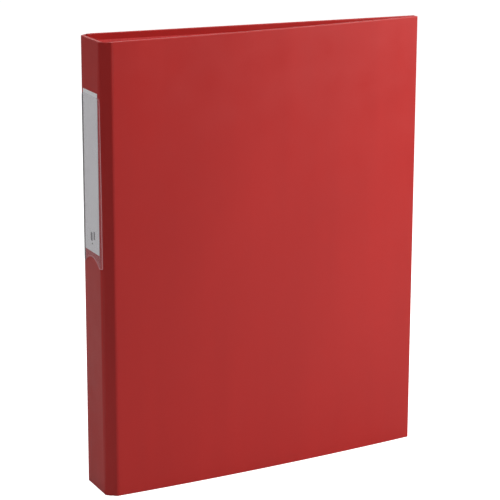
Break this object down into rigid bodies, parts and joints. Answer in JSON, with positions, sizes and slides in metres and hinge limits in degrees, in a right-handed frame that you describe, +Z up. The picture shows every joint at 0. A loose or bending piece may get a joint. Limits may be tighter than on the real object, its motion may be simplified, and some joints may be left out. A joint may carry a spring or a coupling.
{
  "type": "lever arch file",
  "caption": "Slim upright A4 lever arch file with hinged board covers, a spine label pocket, and a lever-worked arch mechanism riveted inside the back cover.",
  "frame": {"origin": "centre of the closed file's bounding box, on the surface it stands on", "axes": "+Z up along the spine, +X from the spine to the fore edge, -Y out of the front cover, with the back cover square to Y"},
  "size_m": [0.249, 0.0434, 0.315],
  "materials": {
    "covering": "fine-grained satin red foil",
    "hinge": "fine-grained satin red foil, creased",
    "greyboard": "raw grey board",
    "lining": "matt red paper",
    "film": "clear soft film",
    "card": "pale label card",
    "plate_steel": "nickel-plated pressed sheet",
    "bright_wire": "bright nickel plate",
    "spring_steel": "oiled spring wire",
    "lever_steel": "bright nickel plate",
    "pin_steel": "zinc-plated steel",
    "roller_nylon": "black nylon",
    "clip_plastic": "black moulded plastic"
  },
  "bodies": {
    "back_cover": {"back_board": "greyboard", "back_wrap": "covering", "back_lining": "lining", "base_plate": "plate_steel", "upper_fixed_post": "bright_wire", "lower_fixed_post": "bright_wire", "lever_pin": "pin_steel", "rivets": "pin_steel", "arch_spring": "spring_steel"},
    "back_hinge": {"back_hinge_strip": "hinge"},
    "spine": {"spine_board": "greyboard", "spine_wrap": "covering", "spine_lining": "lining", "label_pocket": "film"},
    "label": {"label_card": "card"},
    "front_hinge": {"front_hinge_strip": "hinge"},
    "front_cover": {"front_board": "greyboard", "front_wrap": "covering", "front_lining": "lining"},
    "lever": {"lever": "lever_steel", "roller_pin": "pin_steel"},
    "roller": {"roller": "roller_nylon"},
    "arches": {"arch_wire": "bright_wire"},
    "compressor": {"compressor_bar": "plate_steel", "compressor_clips": "clip_plastic"}
  },
  "joints": [
    {"name": "spine_fold", "type": "hinge", "parent": "back_hinge", "child": "spine", "pos_m": [-0.12365, 0.01489, 0.1575], "axis": [0, 0, -1], "range_deg": [0, 52.2]},
    {"name": "back_strip_fold", "type": "hinge", "parent": "back_cover", "child": "back_hinge", "pos_m": [-0.11743, 0.02054, 0.1575], "axis": [0, 0, -1], "range_deg": [0, 42.21]},
    {"name": "cover_fold", "type": "hinge", "parent": "front_hinge", "child": "front_cover", "pos_m": [-0.11419, -0.02144, 0.1575], "axis": [0, 0, -1], "range_deg": [0, 80.47]},
    {"name": "front_strip_fold", "type": "hinge", "parent": "spine", "child": "front_hinge", "pos_m": [-0.12121, -0.01681, 0.1575], "axis": [0, 0, -1], "range_deg": [0, 99.53]},
    {"name": "label_slide", "type": "slide", "parent": "spine", "child": "label", "axis": [0, 0, 1], "range_m": [0, 0.11]},
    {"name": "lever_lift", "type": "hinge", "parent": "back_cover", "child": "lever", "pos_m": [-0.09443, 0.01029, 0.1315], "axis": [1, 0, 0], "range_deg": [0, 90]},
    {"name": "arch_opening", "type": "hinge", "parent": "back_cover", "child": "arches", "pos_m": [-0.10343, 0.01529, 0.1575], "axis": [0, 0, -1], "range_deg": [0, 38]},
    {"name": "roller_spin", "type": "hinge", "parent": "lever", "child": "roller", "pos_m": [-0.09443, 0.01029, 0.141], "axis": [1, 0, 0], "continuous": true},
    {"name": "compressor_slide", "type": "slide", "parent": "back_cover", "child": "compressor", "axis": [0, -1, 0], "range_m": [0, 0.01]}
  ],
  "couplings": [
    {"joint": "back_strip_fold", "follows": "spine_fold", "ratio": 0.80852},
    {"joint": "front_strip_fold", "follows": "cover_fold", "ratio": 1.2368},
    {"joint": "lever_lift", "follows": "spine_fold", "ratio": 1.7241},
    {"joint": "arch_opening", "follows": "spine_fold", "ratio": 0.72797}
  ]
}
